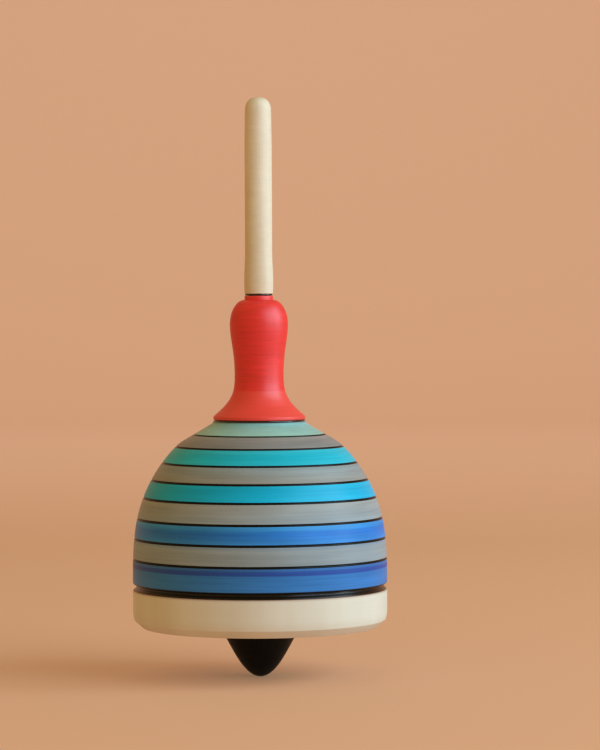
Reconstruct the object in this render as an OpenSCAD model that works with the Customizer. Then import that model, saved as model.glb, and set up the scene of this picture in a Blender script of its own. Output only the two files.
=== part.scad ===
// Turned wooden spinning top: a domed body on a natural disc, a long finger stem and a
// hand grip that turns freely on the stem's journal.
// Millimetres. Z runs up the spin axis, and the origin is the tip's point of contact.

/* [Overall] */
// Height from the tip's point to the crown of the stem
overall_h = 170.8; // [140:0.2:210]
// Diameter of the dome's rim and of the disc under it
body_d = 75; // [62:0.5:92]

/* [Tip] */
// Height of the tip below the disc
tip_h = 14.8; // [10:0.2:20]
// Diameter of the tip against the disc
tip_base_d = 24.2; // [18:0.2:32]
// Angle of the tip's flank at the disc, from the horizontal
tip_flank_deg = 56; // [45:1:70]
// Diameter of the shank that plugs into the body
tip_shank_d = 10; // [6:0.5:14]
// Length of the shank above the disc's underside
tip_shank_l = 27; // [22:0.5:32]

/* [Base disc] */
// Thickness of the natural wood disc
disc_h = 11.2; // [9:0.1:16]
// Radius of the disc's top corner
disc_corner_r = 0.5; // [0.2:0.1:1.5]
// Height of the bevel under the disc's edge
disc_bevel_h = 2.2; // [1:0.1:4]
// Width of the bevel under the disc's edge
disc_bevel_w = 2.5; // [1:0.1:5]
// Height over which the edge draws in above the bevel
disc_draw_h = 3.2; // [2:0.1:6]
// How far the edge draws in above the bevel
disc_draw_w = 0.45; // [0.2:0.05:1.5]

/* [Seam ring] */
// Thickness of the black ring between the dome and the disc
ring_h = 1.6; // [1:0.1:4]
// How far the ring's waist sits inside the body's edge
ring_inset = 1.1; // [0.6:0.1:2]
// Height of the upright waist at the top of the ring
ring_waist_h = 0.5; // [0.2:0.1:0.8]

/* [Dome] */
// Height of the upright wall above the rim
wall_h = 4; // [2:0.5:10]
// Radius of the first, nearly upright bend
barrel_r = 97; // [70:1:130]
// Slope in degrees from the upright at the end of the first bend
barrel_deg = 6.5; // [4:0.5:10]
// Radius of the long bend of the flank
flank_r = 43.2; // [38:0.2:48]
// Slope in degrees from the upright at the end of the flank
flank_deg = 43.7; // [38:0.1:48]
// Radius of the short bend of the shoulder
shoulder_r = 14.3; // [10:0.1:18]
// Slope in degrees from the upright of the cone that runs up to the neck
cone_deg = 59.5; // [52:0.5:66]
// Diameter of the dome where the neck begins
dome_neck_d = 27.4; // [24:0.2:30]
// Radius of the hollow where the cone turns up into the neck
neck_fillet_r = 0.5; // [0.2:0.1:1.5]
// Height of the small upright land at the neck
neck_land_h = 0.1; // [0.05:0.05:1]
// Chamfer around the rim's lower edge
rim_chamfer = 0.4; // [0.2:0.1:1]
// Widths along the surface of the paint bands, from the rim up, each ending in a groove
band_w = [7.5, 6.1, 5.9, 6.4, 5.7, 6, 6.2, 6.3];
// Width of each turned groove
groove_w = 0.6; // [0.3:0.05:1]

/* [Spigot] */
// Diameter of the spigot that centres the dome, the ring and the disc
spigot_d = 30; // [22:0.5:40]
// How deep the spigot enters the disc
spigot_seat_h = 3; // [2:0.1:6]

/* [Grip] */
// Height of the grip
grip_h = 36.4; // [28:0.1:46]
// Diameter of the grip's foot
grip_foot_d = 27.1; // [24:0.1:30]
// Height of the upright lip at the foot
grip_lip_h = 0.9; // [0.2:0.1:1.5]
// Angle of the flare at the foot, from the horizontal
grip_flare_deg = 40; // [30:1:50]
// Diameter of the waist
grip_waist_d = 14.45; // [12:0.05:18]
// Height of the waist above the foot
grip_waist_z = 12.9; // [10:0.1:16]
// Diameter of the bulb
grip_bulb_d = 17.15; // [14:0.05:22]
// Height of the bulb's widest place below the grip's top
grip_bulb_drop = 8.4; // [6:0.1:12]
// Diameter of the small collar at the top
grip_collar_d = 8.4; // [7.8:0.1:9.4]
// Height of the collar
grip_collar_h = 1.2; // [0.5:0.1:2]

/* [Washers] */
// Thickness of the washer under the grip
foot_washer_h = 0.6; // [0.4:0.1:2]
// Thickness of the washer over the grip
neck_washer_h = 0.55; // [0.4:0.05:2]
// How far the foot washer sits inside the grip's foot
foot_washer_inset = 0.05; // [0:0.05:0.5]
// How far the neck washer sits inside the stem's foot
neck_washer_inset = 0.12; // [0:0.02:0.4]

/* [Stem] */
// Diameter of the straight stretch of the stem
stem_d = 8; // [6.6:0.1:10]
// Diameter of the swell above the stem's foot
stem_swell_d = 8.56; // [8:0.02:11]
// Diameter of the stem's foot
stem_foot_d = 8.36; // [7.8:0.02:10.6]
// Height of the swell above the stem's foot
stem_swell_z = 3.8; // [2:0.1:8]
// Height above the foot at which the straight stretch begins
stem_straight_z = 13; // [10:0.5:20]
// Distance from the crown down to the end of the straight stretch
stem_taper_h = 14; // [8:0.5:20]
// Diameter of the stem just under the crown
stem_crown_d = 7.76; // [6:0.02:9]
// Height of the domed crown
crown_h = 4.2; // [3:0.1:6]
// Diameter of the journal and tenon under the stem
journal_d = 6; // [4:0.1:6.4]
// How deep the tenon enters the dome
tenon_h = 22; // [14:0.5:26]

/* [Fits] */
// Radial gap of a glued joint
glue_gap = 0.05; // [0.02:0.01:0.1]
// Space left for glue at the bottom of a blind bore
glue_space = 0.5; // [0.2:0.1:1]
// Radial gap between the journal and the turning grip
turn_gap = 0.05; // [0.02:0.01:0.1]
// Gap above and below the turning grip
grip_play = 0.05; // [0.05:0.05:0.3]

/* [Hidden] */
$fn = 96;
curve_steps = 16; // points along one free curve
short_steps = 8;  // points along one short free curve
flank_steps = 72; // points along the dome's flank
edge_break = 0.3; // small chamfer on a turned edge
overcut = 1;      // how far a cut runs past a face

// How far the handles of each free curve reach, as shares of the curve's own height or width
nose_hold = 0.22;
tip_flank_hold = 0.42;
flare_hold = 0.55;
waist_low_hold = 0.41;
waist_high_hold = 0.5;
bulb_low_hold = 0.3;
shoulder_hold = 0.55;
swell_hold = 0.35;
settle_hold = 0.45;
taper_hold = 0.3;
crown_low_hold = 0.2;
crown_hold = 0.66;

body_r = body_d / 2;
disc_z = tip_h;
ring_z = disc_z + disc_h;
rim_z = ring_z + ring_h;
shank_top_z = disc_z + tip_shank_l;

// A turned flank is a chain of [length, radius] steps. Radius 0 runs straight, a positive one
// bends the flank towards the axis and a negative one away from it. A place on it is
// [r, z, slope from upright].
function arc_len(radius, deg) = radius * deg * PI / 180;
function step_from(p, s, radius) =
    radius == 0
    ? [p[0] - s * sin(p[2]), p[1] + s * cos(p[2]), p[2]]
    : let (deg = p[2] + s / radius * 180 / PI)
      [p[0] - radius * (cos(p[2]) - cos(deg)), p[1] + radius * (sin(deg) - sin(p[2])), deg];
function along(p, chain, s, i = 0) =
    i == len(chain) - 1 || s <= chain[i][0]
    ? step_from(p, s, chain[i][1])
    : along(step_from(p, chain[i][0], chain[i][1]), chain, s - chain[i][0], i + 1);
function sum_to(list, last) = last < 0 ? 0 : list[last] + sum_to(list, last - 1);

// Cubic curve from a to d, with handles b and c
function curve(a, b, c, d, n = curve_steps) =
    [for (i = [0:n]) let (t = i / n, u = 1 - t)
        u * u * u * a + 3 * u * u * t * b + 3 * u * t * t * c + t * t * t * d];

rim_start = [body_r, rim_z, 0];
bends = [
    [wall_h, 0],
    [arc_len(barrel_r, barrel_deg), barrel_r],
    [arc_len(flank_r, flank_deg - barrel_deg), flank_r],
    [arc_len(shoulder_r, cone_deg - flank_deg), shoulder_r],
];
bend_len = sum_to([for (b = bends) b[0]], len(bends) - 1);
bend_end = along(rim_start, bends, bend_len);
fillet_start_r = dome_neck_d / 2 + neck_fillet_r * (1 - cos(cone_deg));
cone_len = (bend_end[0] - fillet_start_r) / sin(cone_deg);
fillet_len = arc_len(neck_fillet_r, cone_deg);
flank = concat(bends, [[cone_len, 0], [fillet_len, -neck_fillet_r]]);
flank_len = bend_len + cone_len + fillet_len;
neck = along(rim_start, flank, flank_len);
grooves = [for (i = [0:len(band_w) - 1]) let (s = sum_to(band_w, i)) if (s < flank_len - groove_w) s];

dome_top_z = neck[1] + neck_land_h;
tenon_z = dome_top_z - tenon_h;
grip_z = dome_top_z + foot_washer_h + grip_play;
grip_top_z = grip_z + grip_h;
neck_washer_z = grip_top_z + grip_play;
foot_z = neck_washer_z + neck_washer_h;
bore_d = journal_d + 2 * glue_gap;

// Black nose with a shank that runs up through the disc into the dome
module tip() {
    base_r = tip_base_d / 2;
    shank_r = tip_shank_d / 2;
    nose_pull = tip_base_d * nose_hold;
    flank_pull = tip_h * tip_flank_hold;
    color([0.06, 0.06, 0.06])
    rotate_extrude()
    polygon(concat(
        curve(
            [0, 0],
            [nose_pull, 0],
            [base_r - flank_pull * cos(tip_flank_deg), tip_h - flank_pull * sin(tip_flank_deg)],
            [base_r, tip_h]
        ),
        [[shank_r, tip_h], [shank_r, shank_top_z - edge_break]],
        [[shank_r - edge_break, shank_top_z], [0, shank_top_z]]
    ));
}

// Natural wood disc, bored for the shank and recessed for the spigot
module base_disc() {
    draw_r = body_r - disc_draw_w;
    draw_z = disc_z + disc_bevel_h;
    corner = [body_r - disc_corner_r, ring_z - disc_corner_r];
    color([0.86, 0.79, 0.67])
    difference() {
        rotate_extrude()
        polygon(concat(
            [[0, disc_z], [draw_r - disc_bevel_w, disc_z]],
            curve(
                [draw_r, draw_z],
                [draw_r + disc_draw_w / 2, draw_z + disc_draw_h / 4],
                [body_r, draw_z + disc_draw_h / 2],
                [body_r, draw_z + disc_draw_h]
            ),
            [for (a = [0:15:90]) corner + disc_corner_r * [cos(a), sin(a)]],
            [[0, ring_z]]
        ));
        translate([0, 0, disc_z - overcut])
        cylinder(d = tip_shank_d + 2 * glue_gap, h = disc_h + 2 * overcut);
        translate([0, 0, ring_z - spigot_seat_h - glue_space])
        cylinder(d = spigot_d + 2 * glue_gap, h = spigot_seat_h + glue_space + overcut);
    }
}

// Black ring with a sloped shoulder, held between the disc and the dome
module seam_ring() {
    color([0.07, 0.07, 0.08])
    rotate_extrude()
    polygon([
        [spigot_d / 2 + glue_gap, ring_z],
        [body_r - disc_corner_r, ring_z],
        [body_r - ring_inset, rim_z - ring_waist_h],
        [body_r - ring_inset, rim_z],
        [spigot_d / 2 + glue_gap, rim_z],
    ]);
}

// Painted dome with turned grooves, a spigot below and a bore at each end
module dome() {
    color([0.24, 0.50, 0.68])
    difference() {
        rotate_extrude()
        difference() {
            polygon(concat(
                [[0, rim_z - ring_h - spigot_seat_h]],
                [[spigot_d / 2, rim_z - ring_h - spigot_seat_h], [spigot_d / 2, rim_z]],
                [[body_r - rim_chamfer, rim_z]],
                [for (i = [0:flank_steps])
                    let (p = along(rim_start, flank, rim_chamfer + (flank_len - rim_chamfer) * i / flank_steps))
                    [p[0], p[1]]],
                [[neck[0], dome_top_z], [0, dome_top_z]]
            ));
            for (s = grooves)
                let (p = along(rim_start, flank, s))
                translate([p[0], p[1]])
                circle(d = groove_w);
        }
        translate([0, 0, ring_z - spigot_seat_h - overcut])
        cylinder(d = tip_shank_d + 2 * glue_gap, h = shank_top_z + glue_space - ring_z + spigot_seat_h + overcut);
        translate([0, 0, tenon_z - glue_space])
        cylinder(d = bore_d, h = tenon_h + glue_space + overcut);
    }
}

// Thin black washer threaded on the journal
module washer(outer_d, z, h) {
    color([0.05, 0.05, 0.05])
    translate([0, 0, z])
    difference() {
        cylinder(d = outer_d, h = h);
        translate([0, 0, -overcut])
        cylinder(d = bore_d, h = h + 2 * overcut);
    }
}

module foot_washer() {
    washer(grip_foot_d - 2 * foot_washer_inset, dome_top_z, foot_washer_h);
}

module neck_washer() {
    washer(stem_foot_d - 2 * neck_washer_inset, neck_washer_z, neck_washer_h);
}

// Red waisted grip, bored to turn on the journal
module grip() {
    foot_r = grip_foot_d / 2;
    waist = [grip_waist_d / 2, grip_z + grip_waist_z];
    bulb = [grip_bulb_d / 2, grip_top_z - grip_bulb_drop];
    collar = [grip_collar_d / 2, grip_top_z - grip_collar_h];
    rise = bulb[1] - waist[1];
    drop = collar[1] - bulb[1];
    shelf = bulb[0] - collar[0];
    flare_pull = grip_waist_z * flare_hold;
    color([0.81, 0.23, 0.20])
    difference() {
        rotate_extrude()
        polygon(concat(
            [[0, grip_z], [foot_r, grip_z]],
            curve(
                [foot_r, grip_z + grip_lip_h],
                [foot_r - flare_pull * cos(grip_flare_deg), grip_z + grip_lip_h + flare_pull * sin(grip_flare_deg)],
                [waist[0], waist[1] - grip_waist_z * waist_low_hold],
                waist
            ),
            curve(waist, waist + [0, rise * waist_high_hold], bulb - [0, rise * bulb_low_hold], bulb),
            curve(bulb, bulb + [0, drop * shoulder_hold], collar + [shelf * shoulder_hold, 0], collar),
            [[collar[0], grip_top_z - edge_break / 2], [collar[0] - edge_break / 2, grip_top_z], [0, grip_top_z]]
        ));
        translate([0, 0, grip_z - overcut])
        cylinder(d = journal_d + 2 * turn_gap, h = grip_h + 2 * overcut);
    }
}

// Pale stem: crown, straight stretch and swelled foot above, journal and tenon below
module stem() {
    foot_r = stem_foot_d / 2;
    journal_r = journal_d / 2;
    swell = [stem_swell_d / 2, foot_z + stem_swell_z];
    straight = [stem_d / 2, foot_z + stem_straight_z];
    taper = [stem_d / 2, overall_h - stem_taper_h];
    crown = [stem_crown_d / 2, overall_h - crown_h];
    fall = straight[1] - swell[1];
    thin = crown[1] - taper[1];
    color([0.88, 0.82, 0.70])
    rotate_extrude()
    polygon(concat(
        [[0, tenon_z], [journal_r - edge_break, tenon_z], [journal_r, tenon_z + edge_break]],
        [[journal_r, foot_z], [foot_r - edge_break / 2, foot_z], [foot_r, foot_z + edge_break / 2]],
        curve([foot_r, foot_z + edge_break], [swell[0], foot_z + stem_swell_z / 2], swell, swell, short_steps),
        curve(swell, swell + [0, fall * swell_hold], straight - [0, fall * settle_hold], straight),
        curve(taper, taper + [0, thin * taper_hold], crown - [0, thin * crown_low_hold], crown, short_steps),
        curve(crown, crown + [0, crown_h * crown_hold], [crown[0] * crown_hold, overall_h], [0, overall_h])
    ));
}

tip();
base_disc();
seam_ring();
dome();
foot_washer();
grip();
neck_washer();
stem();
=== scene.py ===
import math

import bpy
import bmesh
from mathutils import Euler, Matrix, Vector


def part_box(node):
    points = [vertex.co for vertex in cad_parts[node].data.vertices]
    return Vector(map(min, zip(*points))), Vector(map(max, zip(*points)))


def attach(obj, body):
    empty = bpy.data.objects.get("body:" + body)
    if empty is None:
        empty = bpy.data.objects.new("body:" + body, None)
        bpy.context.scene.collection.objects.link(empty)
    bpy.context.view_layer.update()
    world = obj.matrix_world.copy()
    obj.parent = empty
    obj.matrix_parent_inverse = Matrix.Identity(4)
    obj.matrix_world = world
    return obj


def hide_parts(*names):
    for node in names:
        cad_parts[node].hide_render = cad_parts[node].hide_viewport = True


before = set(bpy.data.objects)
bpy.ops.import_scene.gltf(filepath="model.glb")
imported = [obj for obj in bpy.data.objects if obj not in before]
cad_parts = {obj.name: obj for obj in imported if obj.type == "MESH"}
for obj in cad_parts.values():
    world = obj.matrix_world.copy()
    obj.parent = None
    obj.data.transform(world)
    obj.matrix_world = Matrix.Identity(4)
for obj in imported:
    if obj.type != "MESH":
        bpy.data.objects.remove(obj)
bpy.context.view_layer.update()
print("frame loaded")

mm = 0.001          # lengths below are in millimetres until they become a mesh
roundSteps = 288    # facets round the axis
sharpAngle = 38     # degrees; turned edges above this stay crisp
tiny = 1e-6         # shorter than this counts as nothing
easing = {"share": 0.45, "hold": 0.6}   # how much of a side a rounded corner may use, and how full it is


# helpers for turned outlines, which are lists of (radius, height)

def spanOf(node):
    low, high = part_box(node)
    return {"r": high.x / mm, "low": low.z / mm, "high": high.z / mm}


def cubic(a, b, c, d, steps):
    points = []
    for i in range(steps + 1):
        t = i / steps
        u = 1 - t
        share = (u * u * u, 3 * u * u * t, 3 * u * t * t, t * t * t)
        points.append(tuple(sum(w * p[k] for w, p in zip(share, (a, b, c, d))) for k in (0, 1)))
    return points


def roundCorner(middle, radius, steps=8):
    # quarter turn from facing outward to facing up
    turns = [math.radians(90 * k / steps) for k in range(steps + 1)]
    return [(middle[0] + radius * math.cos(a), middle[1] + radius * math.sin(a)) for a in turns]


def eased(outline, radius, minTurn=25, steps=5):
    # rounds every corner of an outline that turns by more than minTurn degrees
    result = [outline[0]]
    for before, corner, after in zip(outline, outline[1:], outline[2:]):
        p, q, s = Vector(before), Vector(corner), Vector(after)
        inward, outward = q - p, s - q
        if min(inward.length, outward.length) < tiny:
            continue
        turn = inward.angle(outward)
        if turn < math.radians(minTurn):
            result.append(corner)
            continue
        longest = min(inward.length, outward.length) * easing["share"]
        cut = min(radius * math.tan(turn / 2), longest)
        a = q - inward.normalized() * cut
        d = q + outward.normalized() * cut
        result += cubic(a, a.lerp(q, easing["hold"]), d.lerp(q, easing["hold"]), d, steps)
    result.append(outline[-1])
    return result


def distancesAlong(outline):
    along = [0.0]
    for p, q in zip(outline, outline[1:]):
        along.append(along[-1] + math.dist(p, q))
    return along


def lathe(name, outline, closed=False, slotOf=None):
    # spins an outline round the axis; slotOf gives the material number of the strip after point i
    along = distancesAlong(outline)
    mesh = bmesh.new()
    alongLayer = mesh.verts.layers.float.new("alongMm")
    rings = []
    for (r, z), s in zip(outline, along):
        ring = []
        for k in range(roundSteps if r > tiny else 1):
            a = 2 * math.pi * k / roundSteps
            v = mesh.verts.new((r * mm * math.cos(a), r * mm * math.sin(a), z * mm))
            v[alongLayer] = s
            ring.append(v)
        rings.append(ring)
    pairs = [(i, i + 1) for i in range(len(rings) - 1)]
    if closed:
        pairs.append((len(rings) - 1, 0))
    for i, j in pairs:
        low, high = rings[i], rings[j]
        slot = slotOf(i) if slotOf else 0
        for k in range(roundSteps):
            n = (k + 1) % roundSteps
            if len(low) == 1:
                corners = (low[0], high[n], high[k])
            elif len(high) == 1:
                corners = (low[k], low[n], high[0])
            else:
                corners = (low[k], low[n], high[n], high[k])
            face = mesh.faces.new(corners)
            face.material_index = slot
            face.smooth = True
    bmesh.ops.recalc_face_normals(mesh, faces=mesh.faces)
    data = bpy.data.meshes.new(name)
    mesh.to_mesh(data)
    mesh.free()
    data.set_sharp_from_angle(angle=math.radians(sharpAngle))
    piece = bpy.data.objects.new(name, data)
    bpy.context.scene.collection.objects.link(piece)
    return piece


def setUp(piece, materials, body, node):
    for material in materials:
        piece.data.materials.append(material)
    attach(piece, body)
    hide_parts(node)
    print("made", piece.name, len(piece.data.polygons), "faces")


# small node helpers

def newGroup(name, inputs, outputs):
    tree = bpy.data.node_groups.new(name, "ShaderNodeTree")
    for label, value in inputs:
        socket = tree.interface.new_socket(label, in_out="INPUT", socket_type="NodeSocketFloat")
        socket.default_value = value
    for label in outputs:
        tree.interface.new_socket(label, in_out="OUTPUT", socket_type="NodeSocketFloat")
    return tree, tree.nodes.new("NodeGroupInput"), tree.nodes.new("NodeGroupOutput")


def wire(tree, source, target):
    tree.links.new(source, target)


def feed(tree, value, socket):
    # a plain value is set on the socket, anything else is linked to it
    if isinstance(value, (int, float, tuple)):
        socket.default_value = value
    else:
        wire(tree, value, socket)


def maths(tree, operation, a, b, clamp=False):
    node = tree.nodes.new("ShaderNodeMath")
    node.operation = operation
    node.use_clamp = clamp
    feed(tree, a, node.inputs[0])
    feed(tree, b, node.inputs[1])
    return node.outputs[0]


def joinXyz(tree, x, y, z):
    node = tree.nodes.new("ShaderNodeCombineXYZ")
    for value, socket in zip((x, y, z), node.inputs):
        feed(tree, value, socket)
    return node.outputs[0]


noiseRoughness = 0.55


def noiseAt(tree, vector, detail):
    node = tree.nodes.new("ShaderNodeTexNoise")
    node.inputs["Scale"].default_value = 1.0
    node.inputs["Detail"].default_value = detail
    node.inputs["Roughness"].default_value = noiseRoughness
    wire(tree, vector, node.inputs["Vector"])
    return node.outputs["Fac"]


def remap(tree, value, low, high, toLow=0.0, toHigh=1.0):
    node = tree.nodes.new("ShaderNodeMapRange")
    for label, number in (("From Min", low), ("From Max", high), ("To Min", toLow), ("To Max", toHigh)):
        feed(tree, number, node.inputs[label])
    wire(tree, value, node.inputs["Value"])
    return node.outputs["Result"]


def swing(tree, value, amount):
    # a 0 to 1 value becomes a gain around 1
    return remap(tree, value, 0, 1, 1 - amount, 1 + amount)


def alongMm(tree):
    node = tree.nodes.new("ShaderNodeAttribute")
    node.attribute_name = "alongMm"
    return node.outputs["Fac"]


# shader groups, built once and placed in each material

streakSpan = (0.28, 0.72)   # the part of the noise that is stretched to 0 to 1
fibreSpan = (0.3, 0.7)
rubReach = (0.35, 1.4)      # how far wear runs in where Breakup is 0 and 1, in widths


def makeTurnedStreaks():
    # brush and tool marks that run round the axis: fine lines, wider bands and slow patches
    tree, given, result = newGroup(
        "turnedStreaks",
        [("Lines per mm", 3.0), ("Run", 1.2), ("Shift", 0.0)],
        ["Fine", "Wide", "Patch"],
    )
    place = tree.nodes.new("ShaderNodeTexCoord")
    flat = tree.nodes.new("ShaderNodeVectorMath")
    flat.operation = "MULTIPLY"
    flat.inputs[1].default_value = (1, 1, 0)
    wire(tree, place.outputs["Object"], flat.inputs[0])
    heading = tree.nodes.new("ShaderNodeVectorMath")   # direction round the axis, whatever the radius
    heading.operation = "NORMALIZE"
    wire(tree, flat.outputs[0], heading.inputs[0])
    parts = tree.nodes.new("ShaderNodeSeparateXYZ")
    wire(tree, heading.outputs[0], parts.inputs[0])
    along = alongMm(tree)
    layers = (
        {"label": "Fine", "run": 1.0, "lines": 1.0, "shift": 0.0, "detail": 4.0},
        {"label": "Wide", "run": 0.75, "lines": 0.22, "shift": 17.0, "detail": 3.0},
        {"label": "Patch", "run": 1.3, "lines": 0.05, "shift": 41.0, "detail": 2.0},
    )
    for layer in layers:
        spread = maths(tree, "MULTIPLY", given.outputs["Run"], layer["run"])
        offset = maths(tree, "ADD", given.outputs["Shift"], layer["shift"])
        x = maths(tree, "MULTIPLY", parts.outputs["X"], spread)
        y = maths(tree, "MULTIPLY", parts.outputs["Y"], spread)
        density = maths(tree, "MULTIPLY", given.outputs["Lines per mm"], layer["lines"])
        z = maths(tree, "MULTIPLY", along, density)
        spot = joinXyz(tree, maths(tree, "ADD", x, offset), maths(tree, "ADD", y, offset), z)
        level = remap(tree, noiseAt(tree, spot, layer["detail"]), *streakSpan)
        wire(tree, level, result.inputs[layer["label"]])
    return tree


def makeWoodFibres():
    # fine fibres along the axis with a slow warm and cool drift
    tree, given, result = newGroup(
        "woodFibres",
        [("Fibres", 900.0), ("Length", 30.0), ("Shift", 0.0)],
        ["Fibre", "Drift"],
    )
    place = tree.nodes.new("ShaderNodeTexCoord")
    parts = tree.nodes.new("ShaderNodeSeparateXYZ")
    wire(tree, place.outputs["Object"], parts.inputs[0])
    layers = (
        {"label": "Fibre", "across": 1.0, "lengthwise": 1.0, "detail": 3.0},
        {"label": "Drift", "across": 0.12, "lengthwise": 0.4, "detail": 2.0},
    )
    for layer in layers:
        wide = maths(tree, "MULTIPLY", given.outputs["Fibres"], layer["across"])
        tall = maths(tree, "MULTIPLY", given.outputs["Length"], layer["lengthwise"])
        x = maths(tree, "MULTIPLY", parts.outputs["X"], wide)
        y = maths(tree, "MULTIPLY", parts.outputs["Y"], wide)
        z = maths(tree, "MULTIPLY", parts.outputs["Z"], tall)
        spot = joinXyz(tree, maths(tree, "ADD", x, given.outputs["Shift"]), y, z)
        level = remap(tree, noiseAt(tree, spot, layer["detail"]), *fibreSpan)
        wire(tree, level, result.inputs[layer["label"]])
    return tree


def makeEdgeRub():
    # wear along the two edges of a turned band: 1 at an edge, 0 further in than Width, broken up by Breakup
    tree, given, result = newGroup(
        "edgeRub",
        [("Start", 0.0), ("End", 1.0), ("Width", 0.5), ("Breakup", 0.5)],
        ["Rub"],
    )
    along = alongMm(tree)
    fromStart = maths(tree, "SUBTRACT", along, given.outputs["Start"])
    fromEnd = maths(tree, "SUBTRACT", given.outputs["End"], along)
    nearest = maths(tree, "MINIMUM", fromStart, fromEnd)
    uneven = remap(tree, given.outputs["Breakup"], 0, 1, *rubReach)
    reach = maths(tree, "MULTIPLY", given.outputs["Width"], uneven)
    inward = maths(tree, "DIVIDE", nearest, reach, clamp=True)
    wire(tree, remap(tree, inward, 0, 1, 1, 0), result.inputs["Rub"])
    return tree


streakGroup = makeTurnedStreaks()
fibreGroup = makeWoodFibres()
rubGroup = makeEdgeRub()
print("shader groups built")


# materials

def toLinear(c):
    return c / 12.92 if c <= 0.04045 else ((c + 0.055) / 1.055) ** 2.4


def tone(r, g, b):
    return (toLinear(r), toLinear(g), toLinear(b), 1.0)


coatRoughness = 0.15


def startMaterial(name, roughness, specular, coat=0.0):
    material = bpy.data.materials.new(name)
    material.use_nodes = True
    tree = material.node_tree
    shader = tree.nodes["Principled BSDF"]
    shader.inputs["Roughness"].default_value = roughness
    shader.inputs["Specular IOR Level"].default_value = specular
    shader.inputs["Coat Weight"].default_value = coat
    shader.inputs["Coat Roughness"].default_value = coatRoughness
    return material, tree, shader


def placeGroup(tree, group, **values):
    node = tree.nodes.new("ShaderNodeGroup")
    node.node_tree = group
    for label, value in values.items():
        feed(tree, value, node.inputs[label.replace("_", " ")])
    return node


def blendTones(tree, factor, a, b, mode="MIX"):
    node = tree.nodes.new("ShaderNodeMix")
    node.data_type = "RGBA"
    node.blend_type = mode
    # inputs 6 and 7 and output 2 are the colour ones
    for value, socket in ((factor, node.inputs[0]), (a, node.inputs[6]), (b, node.inputs[7])):
        feed(tree, value, socket)
    return node.outputs[2]


def unevenGloss(tree, shader, value, look):
    # value 0 is a little smoother than the finish, value 1 a little rougher
    low, high = look["roughness"] - look["smoother"], look["roughness"] + look["rougher"]
    wire(tree, remap(tree, value, 0, 1, low, high), shader.inputs["Roughness"])


def bumpFrom(tree, shader, height, depth, strength):
    bump = tree.nodes.new("ShaderNodeBump")
    bump.inputs["Distance"].default_value = depth * mm
    bump.inputs["Strength"].default_value = strength
    wire(tree, height, bump.inputs["Height"])
    wire(tree, bump.outputs["Normal"], shader.inputs["Normal"])


def toneRamp(tree, value, stops):
    ramp = tree.nodes.new("ShaderNodeValToRGB")
    ramp.color_ramp.interpolation = "EASE"
    while len(ramp.color_ramp.elements) < len(stops):
        ramp.color_ramp.elements.new(0.5)
    for element, (position, colour) in zip(ramp.color_ramp.elements, stops):
        element.position = position
        element.color = tone(*colour)
    wire(tree, value, ramp.inputs["Fac"])
    return ramp.outputs["Color"]


paint = {
    "roughness": 0.38, "smoother": 0.06, "rougher": 0.08, "specular": 0.20, "lines": 3.2, "run": 1.1,
    "streak": 0.10, "band": 0.08, "patch": 0.08, "wander": 0.06, "depth": 0.03, "bump": 0.35,
    "rubWidth": 0.35, "rub": 0.35, "rubTone": (0.16, 0.17, 0.18),
}


def turnedPaint(name, change):
    # thin paint brushed on the turning work: streaks of a lighter and a darker coat, worn along both edges
    look = {**paint, **change}
    material, tree, shader = startMaterial(name, look["roughness"], look["specular"])
    streaks = placeGroup(tree, streakGroup, Lines_per_mm=look["lines"], Run=look["run"], Shift=look["shift"])
    fine, wide, patch = (streaks.outputs[label] for label in ("Fine", "Wide", "Patch"))
    across = remap(tree, alongMm(tree), look["start"], look["end"])
    wander = remap(tree, wide, 0, 1, -look["wander"], look["wander"])
    colour = toneRamp(tree, maths(tree, "ADD", across, wander), look["stops"])
    level = maths(tree, "MULTIPLY", swing(tree, fine, look["streak"]), swing(tree, wide, look["band"]))
    level = maths(tree, "MULTIPLY", level, swing(tree, patch, look["patch"]))
    colour = blendTones(tree, 1.0, colour, level, "MULTIPLY")
    reach = {"Start": look["start"], "End": look["end"], "Width": look["rubWidth"]}
    rub = placeGroup(tree, rubGroup, Breakup=patch, **reach)
    worn = maths(tree, "MULTIPLY", rub.outputs["Rub"], look["rub"])
    wire(tree, blendTones(tree, worn, colour, tone(*look["rubTone"])), shader.inputs["Base Color"])
    unevenGloss(tree, shader, fine, look)
    bumpFrom(tree, shader, fine, look["depth"], look["bump"])
    return material


maple = {
    "specular": 0.3, "roughness": 0.46, "smoother": 0.05, "rougher": 0.08, "lines": 1.6, "run": 1.4,
    "fibres": 700.0, "length": 22.0, "depth": 0.03, "cornerBrownPower": 1.6,
}


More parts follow.
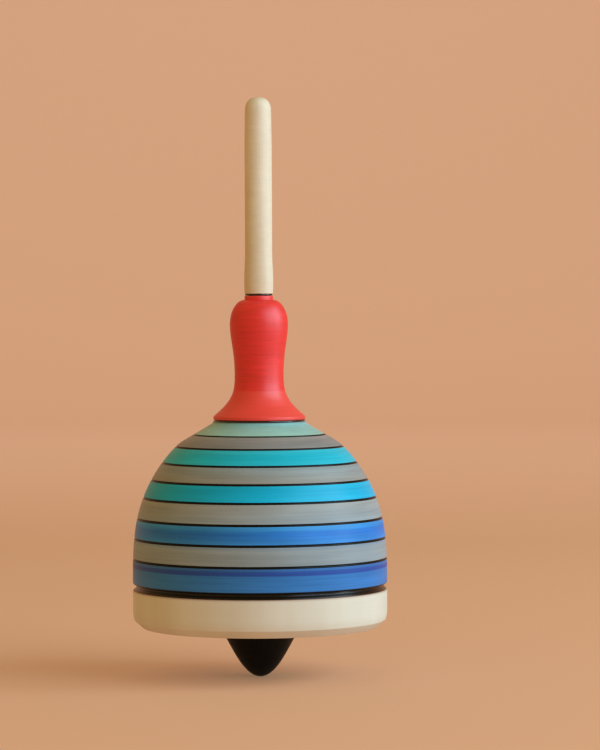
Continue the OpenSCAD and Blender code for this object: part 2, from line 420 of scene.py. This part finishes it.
def turnedMaple(name, change):
    # pale close wood under wax: fibres along the axis, turning rings round it
    look = {**maple, **change}
    material, tree, shader = startMaterial(name, look["roughness"], look["specular"])
    streaks = placeGroup(tree, streakGroup, Lines_per_mm=look["lines"], Run=look["run"], Shift=look["shift"])
    wood = placeGroup(tree, fibreGroup, Fibres=look["fibres"], Length=look["length"], Shift=look["shift"])
    fine, fibre = streaks.outputs["Fine"], wood.outputs["Fibre"]
    colour = blendTones(tree, wood.outputs["Drift"], tone(*look["light"]), tone(*look["warm"]))
    level = maths(tree, "MULTIPLY", swing(tree, fine, look["ring"]), swing(tree, fibre, look["fibre"]))
    level = maths(tree, "MULTIPLY", level, swing(tree, streaks.outputs["Wide"], look["band"]))
    colour = blendTones(tree, 1.0, colour, level, "MULTIPLY")
    if "cornerBrown" in look:
        # a brown band along the top corner, strongest where the corner meets the flat top
        tintShare = remap(tree, alongMm(tree), look["cornerBrownFrom"], look["cornerBrownTo"])
        tintShare = maths(tree, "POWER", tintShare, look["cornerBrownPower"])
        colour = blendTones(tree, tintShare, colour, tone(*look["cornerBrown"]))
    if "crown" in look:
        # darker towards the top of the crown
        tintShare = remap(tree, alongMm(tree), look["crownFrom"], look["crownTo"])
        colour = blendTones(tree, tintShare, colour, tone(*look["crown"]))
    wire(tree, colour, shader.inputs["Base Color"])
    unevenGloss(tree, shader, fine, look)
    bumpFrom(tree, shader, maths(tree, "ADD", fine, fibre), look["depth"], look["bump"])
    return material


lacquer = {
    "deep": (0.05, 0.05, 0.055), "worn": (0.08, 0.08, 0.085), "roughness": 0.3, "smoother": 0.04,
    "rougher": 0.1, "specular": 0.4, "coat": 0.0, "lines": 3.0, "run": 1.6, "depth": 0.02, "bump": 0.2,
}


def blackLacquer(name, change):
    look = {**lacquer, **change}
    material, tree, shader = startMaterial(name, look["roughness"], look["specular"], look["coat"])
    streaks = placeGroup(tree, streakGroup, Lines_per_mm=look["lines"], Run=look["run"], Shift=look["shift"])
    colour = blendTones(tree, streaks.outputs["Wide"], tone(*look["deep"]), tone(*look["worn"]))
    wire(tree, colour, shader.inputs["Base Color"])
    fine = streaks.outputs["Fine"]
    unevenGloss(tree, shader, fine, look)
    bumpFrom(tree, shader, fine, look["depth"], look["bump"])
    return material


# camera: a long lens level with the top of the grip, looking slightly down

view = {
    "distance": 926.0,      # mm from the spin axis
    "height": 111.1,        # mm above the floor
    "side": 12.05,          # mm to the right of the axis
    "down": 1.37,           # degrees
    "roll": -0.25,          # degrees
    "lens": 150.8,          # mm
    "sensor": 36,           # mm wide
    "far": 20,              # m; nothing past this is drawn
}


def makeCamera():
    data = bpy.data.cameras.new("camera")
    data.lens = view["lens"]
    data.sensor_width = view["sensor"]
    data.clip_end = view["far"]
    camera = bpy.data.objects.new("camera", data)
    bpy.context.scene.collection.objects.link(camera)
    camera.location = (view["side"] * mm, -view["distance"] * mm, view["height"] * mm)
    aim = Euler((math.radians(90 - view["down"]), 0, 0)).to_matrix()
    lean = Euler((0, 0, math.radians(view["roll"]))).to_matrix()
    camera.rotation_euler = (aim @ lean).to_euler()
    bpy.context.scene.camera = camera
    print("camera set")


makeCamera()


# what the pieces share

tipSpan = spanOf("tip")
discSpan = spanOf("base_disc")
ringSpan = spanOf("seam_ring")
domeSpan = spanOf("dome")
footSpan = spanOf("foot_washer")
gripSpan = spanOf("grip")
neckSpan = spanOf("neck_washer")
stemSpan = spanOf("stem")

bodyR = discSpan["r"]
rimZ = ringSpan["high"]
fit = {
    "glueGap": 0.05, "glueSpace": 0.5, "turnGap": 0.05,
    "journalR": 3.0, "shankR": 5.0, "spigotR": 15.0, "spigotSeat": 3.0, "edgeBreak": 0.3,
}
shankBoreR = fit["shankR"] + fit["glueGap"]
journalBoreR = fit["journalR"] + fit["glueGap"]
spigotBoreR = fit["spigotR"] + fit["glueGap"]


# black nose with its shank

tip = {"flankDeg": 56, "noseHold": 0.22, "flankHold": 0.42, "edge": 0.15, "steps": 48}


def makeTip():
    r, top, shankTop = tipSpan["r"], discSpan["low"], tipSpan["high"]
    a = math.radians(tip["flankDeg"])
    pull = top * tip["flankHold"]
    flankEnd = (r - pull * math.cos(a), top - pull * math.sin(a))
    outline = cubic((0, 0), (2 * r * tip["noseHold"], 0), flankEnd, (r, top), tip["steps"])
    outline += [(fit["shankR"], top), (fit["shankR"], shankTop - fit["edgeBreak"])]
    outline += [(fit["shankR"] - fit["edgeBreak"], shankTop), (0, shankTop)]
    piece = lathe("tipNose", eased(outline, tip["edge"]))
    look = {
        "deep": (0.02, 0.03, 0.035), "worn": (0.035, 0.045, 0.05), "roughness": 0.42, "specular": 0.11,
        "rougher": 0.14, "lines": 2.4, "shift": 3.0, "bump": 0.25,
    }
    setUp(piece, [blackLacquer("tipLacquer", look)], "spinner", "tip")


# natural disc

# besides its shape, the disc gives how wide the brown band along its top corner is, in mm
disc = {
    "corner": 0.5, "bevelH": 2.2, "bevelW": 2.5, "drawH": 3.2, "drawW": 0.45, "edge": 0.6, "cornerBrownWidth": 1.0,
    "steps": 16,
    "flatSlack": 0.02,   # mm below the top that still counts as the flat
}


def makeDisc():
    low, top = discSpan["low"], discSpan["high"]
    drawR, drawZ = bodyR - disc["drawW"], low + disc["bevelH"]
    straightZ = drawZ + disc["drawH"]
    middle = (bodyR - disc["corner"], top - disc["corner"])
    recessZ = top - fit["spigotSeat"] - fit["glueSpace"]
    outline = [(shankBoreR, recessZ), (shankBoreR, low), (drawR - disc["bevelW"], low)]
    outline += cubic(
        (drawR, drawZ),
        (drawR + disc["drawW"] / 2, drawZ + disc["drawH"] / 4),
        (bodyR, drawZ + disc["drawH"] / 2),
        (bodyR, straightZ),
        disc["steps"],
    )
    outline += [(bodyR, straightZ + (middle[1] - straightZ) * share) for share in (0.25, 0.5, 0.75)]
    outline += roundCorner(middle, disc["corner"])
    outline += [(spigotBoreR, top), (spigotBoreR, recessZ)]
    outline = eased(outline, disc["edge"])
    piece = lathe("naturalDisc", outline, closed=True)
    # the brown band ends where the rounded corner meets the flat top
    corner = next(i for i, (r, z) in enumerate(outline) if z > top - disc["flatSlack"] and r < bodyR)
    reach = distancesAlong(outline)[corner]
    look = {
        "light": (0.87, 0.865, 0.81), "warm": (0.84, 0.825, 0.755), "cornerBrown": (0.52, 0.27, 0.10),
        "cornerBrownFrom": reach - disc["cornerBrownWidth"], "cornerBrownTo": reach, "shift": 8.0, "ring": 0.012, "fibre": 0.006,
        "band": 0.01, "bump": 0.1,
    }
    setUp(piece, [turnedMaple("discMaple", look)], "spinner", "base_disc")


# black seam ring between the dome and the disc

seam = {"inset": 1.1, "waist": 0.5, "belly": 0.3, "edge": 0.25, "steps": 12}


def makeSeamRing():
    low, top, footR = ringSpan["low"], ringSpan["high"], ringSpan["r"]
    waistR, waistZ = bodyR - seam["inset"], top - seam["waist"]
    outline = [(spigotBoreR, low), ((spigotBoreR + footR) / 2, low), (footR, low)]
    bellyLow, bellyHigh = (footR, low + seam["belly"]), (waistR, waistZ - seam["belly"])
    outline += cubic((footR, low), bellyLow, bellyHigh, (waistR, waistZ), seam["steps"])[1:]
    outline += [(waistR, top), (spigotBoreR, top)]
    piece = lathe("seamRing", eased(outline, seam["edge"], minTurn=60), closed=True)
    look = {
        "deep": (0.02, 0.02, 0.025), "worn": (0.035, 0.035, 0.04), "roughness": 0.2, "specular": 0.3,
        "shift": 12.0,
    }
    setUp(piece, [blackLacquer("seamLacquer", look)], "spinner", "seam_ring")


# dome: an upright wall, three bends, a straight cone and a small hollow under the neck, as turned

dome = {
    "wall": 4.0, "barrelR": 97.0, "barrelDeg": 6.5, "flankR": 43.2, "flankDeg": 43.7,
    "shoulderR": 14.3, "coneDeg": 59.5, "neckR": 13.7, "filletR": 0.5, "chamfer": 0.4,
    "bands": (7.5, 6.1, 5.9, 6.4, 5.7, 6.0, 6.2, 6.3),
    "grooveW": 0.6, "grooveDeep": 0.3, "grooveBlack": 1.25, "grooveClear": 1.6, "rimBlack": 0.45,
    "step": 0.5,
}
# where a groove's cross-section has points, in half widths; grooveClear keeps the even points out of it
lipShares = (0, 0.25, 0.5, 0.75, 0.9, 1, dome["grooveBlack"], 1.5)

# the painted bands from the rim up, each with its own place in the streak pattern
grey = (0.56, 0.62, 0.65)
bandShift = {"first": 2.0, "step": 5.0}
bandLooks = [
    {
        "name": "bandSteelBlue", "wander": 0.02, "streak": 0.14,
        "stops": [
            (0, (0.21, 0.49, 0.78)),
            (0.62, (0.20, 0.48, 0.77)),
            (0.66, (0.155, 0.31, 0.64)),
            (0.80, (0.155, 0.31, 0.64)),
            (0.86, (0.20, 0.43, 0.71)),
            (1, (0.25, 0.47, 0.70)),
        ],
    },
    {
        "name": "bandGreyLow",
        "stops": [
            (0, (0.53, 0.62, 0.66)),
            (0.12, grey),
            (0.76, grey),
            (0.88, (0.51, 0.60, 0.67)),
            (1, (0.50, 0.60, 0.67)),
        ],
    },
    {
        "name": "bandBlue", "patch": 0.16, "streak": 0.13,
        "stops": [
            (0, (0.22, 0.56, 0.86)),
            (0.35, (0.17, 0.50, 0.84)),
            (0.6, (0.14, 0.46, 0.81)),
            (0.85, (0.20, 0.57, 0.86)),
            (1, (0.26, 0.59, 0.84)),
        ],
    },
    {"name": "bandGreyMid", "stops": [(0, grey), (1, (0.60, 0.63, 0.63))]},
    {
        "name": "bandCyan",
        "stops": [(0, (0.05, 0.70, 0.87)), (0.6, (0.0, 0.69, 0.86)), (1, (0.05, 0.70, 0.85))],
    },
    {"name": "bandGreyHigh", "stops": [(0, (0.57, 0.58, 0.56)), (1, (0.54, 0.60, 0.62))]},
    {
        "name": "bandTeal",
        "stops": [(0, (0.14, 0.73, 0.83)), (0.5, (0.06, 0.71, 0.81)), (1, (0.17, 0.73, 0.81))],
    },
    {"name": "bandGreyTop", "stops": [(0, (0.52, 0.53, 0.53)), (1, (0.54, 0.55, 0.54))]},
    {
        "name": "bandAqua", "streak": 0.05,
        "stops": [(0, (0.57, 0.76, 0.71)), (0.6, (0.55, 0.75, 0.73)), (1, (0.52, 0.75, 0.76))],
    },
]


def flankPlace(bends, s):
    # radius, height and slope from upright at a distance s up the flank from the rim's lower edge
    r, z, slope = bodyR, rimZ, 0.0
    for i, (length, radius) in enumerate(bends):
        run = s if i == len(bends) - 1 else min(s, length)
        if radius:
            turn = slope + run / radius
            r -= radius * (math.cos(slope) - math.cos(turn))
            z += radius * (math.sin(turn) - math.sin(slope))
            slope = turn
        else:
            r -= run * math.sin(slope)
            z += run * math.cos(slope)
        s -= run
        if s <= 0:
            break
    return r, z, slope


def flankBends():
    bends = [(dome["wall"], 0.0)]
    last = 0.0
    for part in ("barrel", "flank"):
        bends.append((dome[part + "R"] * math.radians(dome[part + "Deg"] - last), dome[part + "R"]))
        last = dome[part + "Deg"]
    bends.append((dome["shoulderR"] * math.radians(dome["coneDeg"] - last), dome["shoulderR"]))
    cone = math.radians(dome["coneDeg"])
    endR = flankPlace(bends, sum(length for length, _ in bends))[0]
    hollowR = dome["neckR"] + dome["filletR"] * (1 - math.cos(cone))
    bends.append(((endR - hollowR) / math.sin(cone), 0.0))
    bends.append((dome["filletR"] * cone, -dome["filletR"]))
    return bends


def flankStations(flankLen, grooves, halfW):
    # distances up the flank at which the outline has a point, closer together over each groove
    steps = int((flankLen - dome["chamfer"]) / dome["step"])
    places = [dome["chamfer"] + k * dome["step"] for k in range(steps + 1)]
    places = [p for p in places if all(abs(p - g) > halfW * dome["grooveClear"] for g in grooves)]
    places += [g + side * halfW * share for g in grooves for share in lipShares for side in (-1, 1)]
    places += [dome["rimBlack"], flankLen - dome["filletR"] / 2, flankLen]
    return sorted(set(round(p, 4) for p in places))


def makeDome():
    bends = flankBends()
    flankLen = sum(length for length, _ in bends)
    grooves = [sum(dome["bands"][:i + 1]) for i in range(len(dome["bands"]))]
    halfW = dome["grooveW"] / 2
    stations = flankStations(flankLen, grooves, halfW)
    topZ, spigotZ = domeSpan["high"], domeSpan["low"]
    boreTop, boreLow = tipSpan["high"] + fit["glueSpace"], stemSpan["low"] - fit["glueSpace"]
    under = [(0, boreTop), (shankBoreR, boreTop), (shankBoreR, spigotZ), (fit["spigotR"], spigotZ)]
    under += [(fit["spigotR"], rimZ), (bodyR - dome["chamfer"], rimZ)]
    outline = list(under)
    for s in stations:
        r, z, slope = flankPlace(bends, s)
        off = min(abs(s - g) for g in grooves) / halfW   # how far into a groove, in half widths
        deep = dome["grooveDeep"] * math.sqrt(1 - off * off) if off < 1 else 0.0
        outline.append((r - deep * math.cos(slope), z - deep * math.sin(slope)))
    outline += [(dome["neckR"], topZ), (journalBoreR, topZ), (journalBoreR, boreLow), (0, boreLow)]
    black, bare = len(bandLooks), len(bandLooks) + 1

    def slotOf(i):
        k = i - len(under)
        if k < -1 or k >= len(stations):
            return bare
        if k == -1:
            return black   # the rim's chamfer
        middle = (stations[k] + stations[min(k + 1, len(stations) - 1)]) / 2
        if middle < dome["rimBlack"] or any(abs(middle - g) < halfW * dome["grooveBlack"] for g in grooves):
            return black
        return sum(middle > g for g in grooves)

    piece = lathe("paintedDome", outline, slotOf=slotOf)
    # each band's paint runs between its own two grooves, measured along this outline
    along = distancesAlong(outline)
    edges = [dome["rimBlack"]] + grooves + [flankLen]
    nearest = [min(range(len(stations)), key=lambda k: abs(stations[k] - e)) for e in edges]
    edgeAlong = [along[len(under) + k] for k in nearest]
    materials = []
    for i, look in enumerate(bandLooks):
        shift = bandShift["first"] + bandShift["step"] * i
        spread = {"start": edgeAlong[i], "end": edgeAlong[i + 1], "shift": shift}
        materials.append(turnedPaint(look["name"], {**look, **spread}))
    bareWood = {
        "light": (0.89, 0.85, 0.78), "warm": (0.84, 0.79, 0.70), "roughness": 0.55, "shift": 30.0,
        "ring": 0.02, "fibre": 0.03, "band": 0.02, "bump": 0.2,
    }
    grooveLook = {"deep": (0.02, 0.025, 0.035), "worn": (0.04, 0.045, 0.055), "specular": 0.22, "shift": 60.0}
    materials += [blackLacquer("grooveBlack", grooveLook), turnedMaple("domeMaple", bareWood)]
    setUp(piece, materials, "spinner", "dome")


# thin black washers above and below the grip

washer = {"roughness": 0.2, "coat": 0.5, "rougher": 0.08, "lines": 4.0, "bump": 0.15, "shift": 20.0}


def makeWasher(name, span, node, crown):
    outline = [(r, span["low"]) for r in (journalBoreR, span["r"])]
    outline += [(r, span["high"]) for r in (span["r"], journalBoreR)]
    outline = eased(outline + [outline[0]], crown, minTurn=60)[:-1]
    piece = lathe(name, outline, closed=True)
    look = {**washer, "shift": washer["shift"] + span["r"]}
    setUp(piece, [blackLacquer(name + "Black", look)], "spinner", node)


# red grip that turns on the journal

grip = {
    "lip": 0.9, "flareDeg": 40, "flareHold": 0.55, "waistR": 7.225, "waistZ": 12.9, "waistLowHold": 0.41,
    "waistHighHold": 0.5, "bulbR": 8.575, "bulbDrop": 8.4, "bulbLowHold": 0.3, "shoulderHold": 0.55,
    "collarR": 4.2, "collarH": 1.2, "edge": 0.25, "waistSteps": 32, "bulbSteps": 28,
}
gripRed = (0.905, 0.17, 0.165)
gripPaint = {
    "shift": 71.0, "stops": [(0, gripRed), (1, gripRed)], "streak": 0.085, "band": 0.07, "patch": 0.04,
    "lines": 2.0, "run": 0.8, "roughness": 0.42, "specular": 0.62, "bump": 0.25,
    "rubWidth": 0.6, "rub": 0.4, "rubTone": (0.95, 0.36, 0.31),
}


def makeGrip():
    low, top, footR = gripSpan["low"], gripSpan["high"], gripSpan["r"]
    boreR = fit["journalR"] + fit["turnGap"]
    foot = (footR, low + grip["lip"])
    waist = (grip["waistR"], low + grip["waistZ"])
    bulb = (grip["bulbR"], top - grip["bulbDrop"])
    collar = (grip["collarR"], top - grip["collarH"])
    rise, drop, shelf = bulb[1] - waist[1], collar[1] - bulb[1], bulb[0] - collar[0]
    a = math.radians(grip["flareDeg"])
    pull = grip["waistZ"] * grip["flareHold"]
    flareEnd = (footR - pull * math.cos(a), foot[1] + pull * math.sin(a))
    waistLow = (waist[0], waist[1] - grip["waistZ"] * grip["waistLowHold"])
    waistHigh = (waist[0], waist[1] + rise * grip["waistHighHold"])
    bulbLow = (bulb[0], bulb[1] - rise * grip["bulbLowHold"])
    bulbHigh = (bulb[0], bulb[1] + drop * grip["shoulderHold"])
    shoulder = (collar[0] + shelf * grip["shoulderHold"], collar[1])
    outline = [(boreR, low), (footR, low)]
    outline += cubic(foot, flareEnd, waistLow, waist, grip["waistSteps"])
    outline += cubic(waist, waistHigh, bulbLow, bulb, grip["bulbSteps"])[1:]
    outline += cubic(bulb, bulbHigh, shoulder, collar, grip["bulbSteps"])[1:]
    outline += [(collar[0], top), (boreR, top)]
    outline = eased(outline, grip["edge"], minTurn=30)
    piece = lathe("turningGrip", outline, closed=True)
    along = distancesAlong(outline)
    worn = {"start": along[1] + footR - boreR, "end": along[-1] - (collar[0] - boreR)}
    setUp(piece, [turnedPaint("gripRed", {**gripPaint, **worn})], "handle", "grip")


# pale stem with its hidden journal and tenon

stem = {
    "footR": 4.18, "swellR": 4.28, "swellZ": 3.8, "swellHold": 0.35,
    "straightR": 4.0, "straightZ": 13.0, "settleHold": 0.45,
    "taperH": 14.0, "taperHold": 0.3, "crownR": 3.88, "crownH": 4.2, "crownLowHold": 0.2, "crownHold": 0.66,
    "edge": 0.15, "swellSteps": 8, "settleSteps": 20, "straightSteps": 12, "taperSteps": 12,
    "crownSteps": 24, "crownTintReach": 0.9,
}
stemWood = {
    "light": (0.90, 0.87, 0.785), "warm": (0.86, 0.81, 0.705), "crown": (0.80, 0.72, 0.58), "lines": 2.0,
    "shift": 50.0, "roughness": 0.45, "fibres": 1500.0, "length": 60.0, "ring": 0.032, "fibre": 0.02,
    "band": 0.025, "bump": 0.2,
}


def makeStem():
    low, top, footZ = stemSpan["low"], stemSpan["high"], neckSpan["high"]
    journal, bevel = fit["journalR"], fit["edgeBreak"]
    swell = (stem["swellR"], footZ + stem["swellZ"])
    straight = (stem["straightR"], footZ + stem["straightZ"])
    taper = (stem["straightR"], top - stem["taperH"])
    crown = (stem["crownR"], top - stem["crownH"])
    fall, thin = straight[1] - swell[1], crown[1] - taper[1]
    settleStart = (swell[0], swell[1] + fall * stem["swellHold"])
    settleEnd = (straight[0], straight[1] - fall * stem["settleHold"])
    taperStart = (taper[0], taper[1] + thin * stem["taperHold"])
    taperEnd = (crown[0], crown[1] - thin * stem["crownLowHold"])
    crownSide = (crown[0], crown[1] + stem["crownH"] * stem["crownHold"])
    crownTop = (crown[0] * stem["crownHold"], top)
    outline = [(0, low), (journal - bevel, low), (journal, low + bevel), (journal, footZ)]
    outline.append((stem["footR"], footZ))
    footTop, swellLow = (stem["footR"], footZ + bevel), (swell[0], footZ + stem["swellZ"] / 2)
    rise, parts = taper[1] - straight[1], stem["straightSteps"]
    outline += cubic(footTop, swellLow, swell, swell, stem["swellSteps"])
    outline += cubic(swell, settleStart, settleEnd, straight, stem["settleSteps"])[1:]
    outline += [(straight[0], straight[1] + rise * k / parts) for k in range(1, parts)]
    outline += cubic(taper, taperStart, taperEnd, crown, stem["taperSteps"])
    outline += cubic(crown, crownSide, crownTop, (0, top), stem["crownSteps"])[1:]
    outline = eased(outline, stem["edge"], minTurn=30)
    piece = lathe("fingerStem", outline)
    end = distancesAlong(outline)[-1]
    # the crown turns darker towards its top, starting a share of its radius below the end of the outline
    crownTint = {"crownFrom": end - stem["crownR"] * stem["crownTintReach"], "crownTo": end + stem["crownR"]}
    look = {**stemWood, **crownTint}
    setUp(piece, [turnedMaple("stemMaple", look)], "spinner", "stem")


makeTip()
makeDisc()
makeSeamRing()
makeDome()
makeWasher("footWasher", footSpan, "foot_washer", crown=0.25)
makeGrip()
makeWasher("neckWasher", neckSpan, "neck_washer", crown=0.2)
makeStem()


# studio: a sweep of pale paper that glows a little, a wide cool light and a narrow window at the right,
# a light for the backdrop and a warm room round it all; lengths are in mm, the lights' powers in watts

paper = {
    "front": -7000.0, "wallY": 2800.0, "sweepR": 900.0, "halfWidth": 7000.0, "top": 3000.0,
    "colour": (0.80, 0.61, 0.48), "roughness": 0.75, "specular": 0.1,
    "glow": (1.0, 0.853, 0.684), "glowPower": 0.151, "steps": 24,
}
lightAim = (0, 0, 80)   # lights with no aim of their own point near the middle of the toy
lights = [
    {
        "name": "key", "azimuth": 66, "height": 25, "distance": 1300, "size": (1700, 1000),
        "power": 21.5, "colour": (0.547, 0.78, 0.99),
    },
    {
        "name": "window", "azimuth": 84, "height": 14, "distance": 1300, "size": (220, 900),
        "power": 2.4, "colour": (0.66, 0.88, 0.96),
    },
    {
        "name": "backdrop", "at": (0, 900, 1500), "aim": (0, 2800, 1000), "size": (2400, 600),
        "power": 26.1, "colour": (0.514, 0.696, 1.0),
    },
]
room = {"colour": (1.0, 0.671, 0.247), "power": 0.514, "seen": (0.80, 0.60, 0.45)}


def makePaper():
    flatEnd = paper["wallY"] - paper["sweepR"]
    profile = [(paper["front"], 0.0), (flatEnd, 0.0)]
    for k in range(1, paper["steps"] + 1):
        a = math.radians(90 * k / paper["steps"])
        profile.append((flatEnd + paper["sweepR"] * math.sin(a), paper["sweepR"] * (1 - math.cos(a))))
    profile.append((paper["wallY"], paper["top"]))
    mesh = bmesh.new()
    rows = []
    for y, z in profile:
        rows.append([mesh.verts.new((side * paper["halfWidth"] * mm, y * mm, z * mm)) for side in (-1, 1)])
    for a, b in zip(rows, rows[1:]):
        face = mesh.faces.new((a[0], a[1], b[1], b[0]))
        face.smooth = True
    data = bpy.data.meshes.new("sweep")
    mesh.to_mesh(data)
    mesh.free()
    sweep = bpy.data.objects.new("sweep", data)
    bpy.context.scene.collection.objects.link(sweep)
    material, tree, shader = startMaterial("sweepPaper", paper["roughness"], paper["specular"])
    shader.inputs["Base Color"].default_value = tone(*paper["colour"])
    shader.inputs["Emission Color"].default_value = tone(*paper["glow"])
    shader.inputs["Emission Strength"].default_value = paper["glowPower"]
    data.materials.append(material)


def makeLight(light):
    data = bpy.data.lights.new(light["name"], "AREA")
    data.shape = "RECTANGLE"
    data.size = light["size"][0] * mm
    data.size_y = light["size"][1] * mm
    data.energy = light["power"]
    data.color = light["colour"]
    lamp = bpy.data.objects.new(light["name"], data)
    bpy.context.scene.collection.objects.link(lamp)
    target = Vector(light.get("aim", lightAim)) * mm
    if "at" in light:
        lamp.location = Vector(light["at"]) * mm
    else:
        a, e = math.radians(light["azimuth"]), math.radians(light["height"])
        heading = Vector((math.sin(a) * math.cos(e), -math.cos(a) * math.cos(e), math.sin(e)))
        lamp.location = target + heading * light["distance"] * mm
    lamp.rotation_euler = (target - lamp.location).to_track_quat("-Z", "Y").to_euler()


def makeRoom():
    # warm light from all round; past the paper's edge the eye sees a plain tone like the paper's
    world = bpy.data.worlds.new("room")
    world.use_nodes = True
    tree = world.node_tree
    glow = tree.nodes["Background"]
    glow.inputs["Color"].default_value = (*room["colour"], 1)
    glow.inputs["Strength"].default_value = room["power"]
    seen = tree.nodes.new("ShaderNodeBackground")
    seen.inputs["Color"].default_value = tone(*room["seen"])
    path = tree.nodes.new("ShaderNodeLightPath")
    either = tree.nodes.new("ShaderNodeMixShader")
    wire(tree, path.outputs["Is Camera Ray"], either.inputs["Fac"])
    wire(tree, glow.outputs["Background"], either.inputs[1])
    wire(tree, seen.outputs["Background"], either.inputs[2])
    wire(tree, either.outputs["Shader"], tree.nodes["World Output"].inputs["Surface"])
    bpy.context.scene.world = world


makePaper()
for light in lights:
    makeLight(light)
makeRoom()
bpy.context.scene.view_settings.view_transform = "Standard"
print("studio lit")
